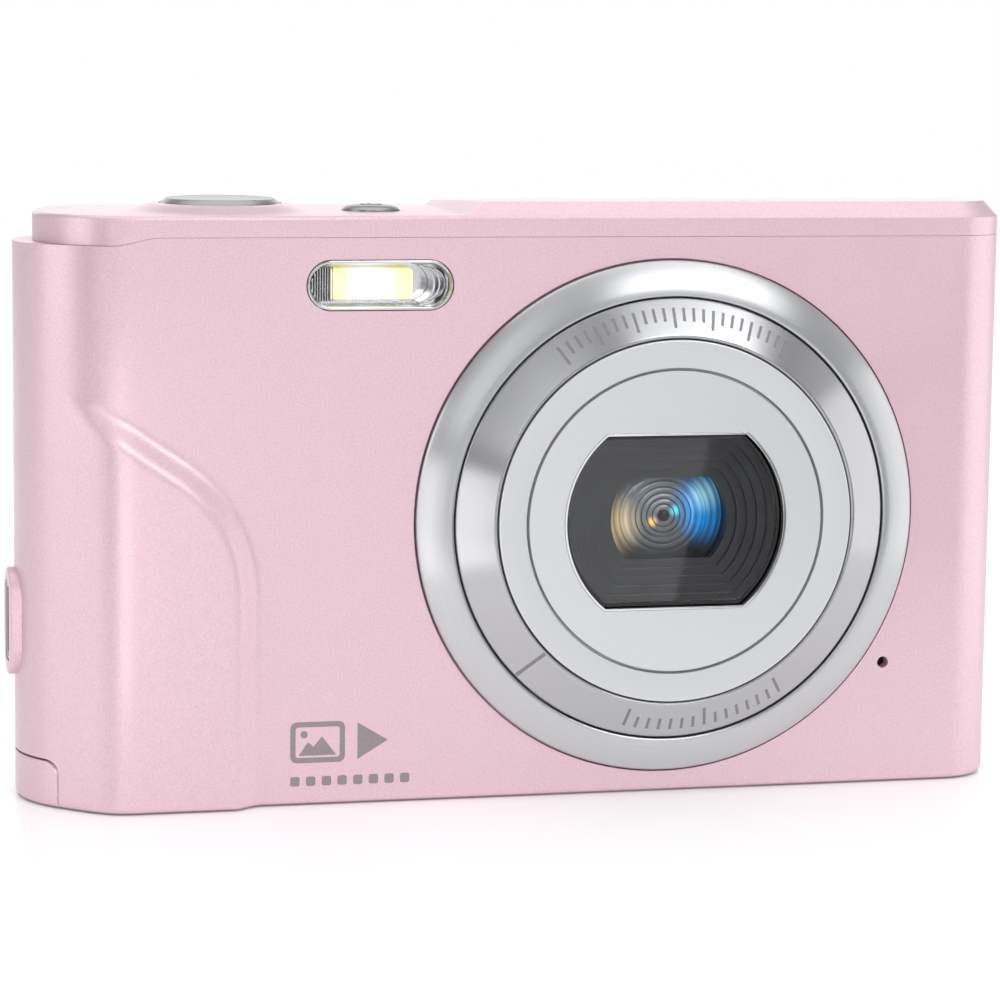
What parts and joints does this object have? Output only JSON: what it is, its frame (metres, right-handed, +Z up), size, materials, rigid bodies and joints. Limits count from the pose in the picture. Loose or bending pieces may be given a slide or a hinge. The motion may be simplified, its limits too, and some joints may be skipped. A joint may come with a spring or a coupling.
{
  "type": "compact digital camera",
  "caption": "Slim pocket camera with a fixed lens in a broad ringed bezel, a lamp window, top buttons, rear screen, keypad and a door for battery and card.",
  "frame": {"origin": "on the base plane, at the middle of the body's width and of its depth without the lens", "axes": "+Z up; the lens and front face -Y; +X is to the right seen from the front"},
  "size_m": [0.0957, 0.0242, 0.0567],
  "materials": {
    "pearl_pink": "satin pearl pink paint with a fine sparkle",
    "satin_silver": "satin silver coating",
    "brushed_silver": "finely turned bright aluminium",
    "bright_chrome": "bright chrome plate",
    "bare_steel": "plain steel",
    "brass": "plain brass",
    "black_plastic": "fine matt black moulding",
    "gloss_black": "polished black moulding",
    "screen_glass": "dark polished screen cover",
    "clear_pane": "clear polished pane",
    "coated_glass": "anti-reflection coated optical glass",
    "lit_phosphor": "yellow lamp phosphor",
    "circuit_board": "green solder mask",
    "flex_tape": "amber film with copper tracks",
    "chip_black": "moulded chip package",
    "grey_rubber": "soft silicone sheet",
    "battery_wrap": "dark shrink wrap",
    "card_plastic": "dark blue moulding",
    "led_green": "translucent green lens"
  },
  "bodies": {
    "camera_body": {"aperture_plate": "black_plastic", "base_screw_1": "bare_steel", "base_screw_2": "bare_steel", "battery_contacts": "brass", "battery_holder": "black_plastic", "battery_spring": "bare_steel", "card_socket": "bare_steel", "chassis_plate": "bare_steel", "end_screw_1": "bare_steel", "end_screw_2": "bare_steel", "flash_bezel": "bright_chrome", "flash_led": "lit_phosphor", "flash_reflector": "bright_chrome", "flash_window": "clear_pane", "front_lens": "coated_glass", "front_shell": "pearl_pink", "image_sensor": "chip_black", "ir_filter": "coated_glass", "keypad_board": "circuit_board", "keypad_rubber": "grey_rubber", "lcd_flex": "flex_tape", "lcd_frame": "bare_steel", "lcd_panel": "chip_black", "lcd_window": "screen_glass", "lens_barrel": "black_plastic", "lens_bezel_ring": "bright_chrome", "lens_face_disc": "satin_silver", "lens_trim_ring": "brushed_silver", "lens_window_plate": "gloss_black", "main_board": "circuit_board", "microphone": "bare_steel", "power_switch": "chip_black", "processor_chip": "chip_black", "rear_lens": "coated_glass", "rear_shell": "pearl_pink", "sensor_board": "circuit_board", "shutter_switch": "chip_black", "speaker": "black_plastic", "status_led": "led_green", "strap_pin": "bare_steel", "top_board": "circuit_board", "top_cover": "pearl_pink", "tripod_bush": "brass", "usb_socket": "bare_steel"},
    "shutter_button": {"shutter_button": "brushed_silver"},
    "power_button": {"power_button": "brushed_silver"},
    "zoom_rocker": {"zoom_rocker": "satin_silver"},
    "mode_button": {"mode_button": "satin_silver"},
    "menu_button": {"menu_button": "satin_silver"},
    "playback_button": {"playback_button": "satin_silver"},
    "delete_button": {"delete_button": "satin_silver"},
    "ok_button": {"ok_button": "satin_silver"},
    "key_up": {"key_up": "satin_silver"},
    "key_down": {"key_down": "satin_silver"},
    "key_left": {"key_left": "satin_silver"},
    "key_right": {"key_right": "satin_silver"},
    "door_slider": {"door_hinge_pin": "bare_steel"},
    "battery_door": {"battery_door": "pearl_pink"},
    "battery": {"battery": "battery_wrap"},
    "memory_card": {"memory_card": "card_plastic"}
  },
  "joints": [
    {"name": "shutter_button_press", "type": "slide", "parent": "camera_body", "child": "shutter_button", "axis": [0, 0, -1], "range_m": [0, 0.0008], "stiffness_N_per_m": 600},
    {"name": "power_button_press", "type": "slide", "parent": "camera_body", "child": "power_button", "axis": [0, 0, -1], "range_m": [0, 0.0004], "stiffness_N_per_m": 600},
    {"name": "mode_button_press", "type": "slide", "parent": "camera_body", "child": "mode_button", "axis": [0, -1, 0], "range_m": [0, 0.00035], "stiffness_N_per_m": 800},
    {"name": "menu_button_press", "type": "slide", "parent": "camera_body", "child": "menu_button", "axis": [0, -1, 0], "range_m": [0, 0.00035], "stiffness_N_per_m": 800},
    {"name": "playback_button_press", "type": "slide", "parent": "camera_body", "child": "playback_button", "axis": [0, -1, 0], "range_m": [0, 0.00035], "stiffness_N_per_m": 800},
    {"name": "delete_button_press", "type": "slide", "parent": "camera_body", "child": "delete_button", "axis": [0, -1, 0], "range_m": [0, 0.00035], "stiffness_N_per_m": 800},
    {"name": "ok_button_press", "type": "slide", "parent": "camera_body", "child": "ok_button", "axis": [0, -1, 0], "range_m": [0, 0.00035], "stiffness_N_per_m": 800},
    {"name": "key_up_press", "type": "slide", "parent": "camera_body", "child": "key_up", "axis": [0, -1, 0], "range_m": [0, 0.00035], "stiffness_N_per_m": 800},
    {"name": "key_down_press", "type": "slide", "parent": "camera_body", "child": "key_down", "axis": [0, -1, 0], "range_m": [0, 0.00035], "stiffness_N_per_m": 800},
    {"name": "key_left_press", "type": "slide", "parent": "camera_body", "child": "key_left", "axis": [0, -1, 0], "range_m": [0, 0.00035], "stiffness_N_per_m": 800},
    {"name": "key_right_press", "type": "slide", "parent": "camera_body", "child": "key_right", "axis": [0, -1, 0], "range_m": [0, 0.00035], "stiffness_N_per_m": 800},
    {"name": "zoom_rocker_tilt", "type": "hinge", "parent": "camera_body", "child": "zoom_rocker", "pos_m": [-0.0285, 0.0076, 0.047], "axis": [0, 0, 1], "range_deg": [-3, 3], "stiffness_Nm_per_rad": 0.2},
    {"name": "door_unlatch", "type": "slide", "parent": "camera_body", "child": "door_slider", "axis": [-1, 0, 0], "range_m": [0, 0.0015]},
    {"name": "door_swing", "type": "hinge", "parent": "door_slider", "child": "battery_door", "pos_m": [-0.0032, 0, 0.0009], "axis": [0, -1, 0], "range_deg": [0, 95]},
    {"name": "battery_rise", "type": "slide", "parent": "camera_body", "child": "battery", "axis": [0, 0, -1], "range_m": [0, 0.0037]},
    {"name": "card_push", "type": "slide", "parent": "camera_body", "child": "memory_card", "axis": [0, 0, 1], "range_m": [0, 0.0008], "stiffness_N_per_m": 500}
  ],
  "couplings": [
    {"joint": "battery_rise", "follows": "door_swing", "m_per_rad": 0.0022}
  ]
}
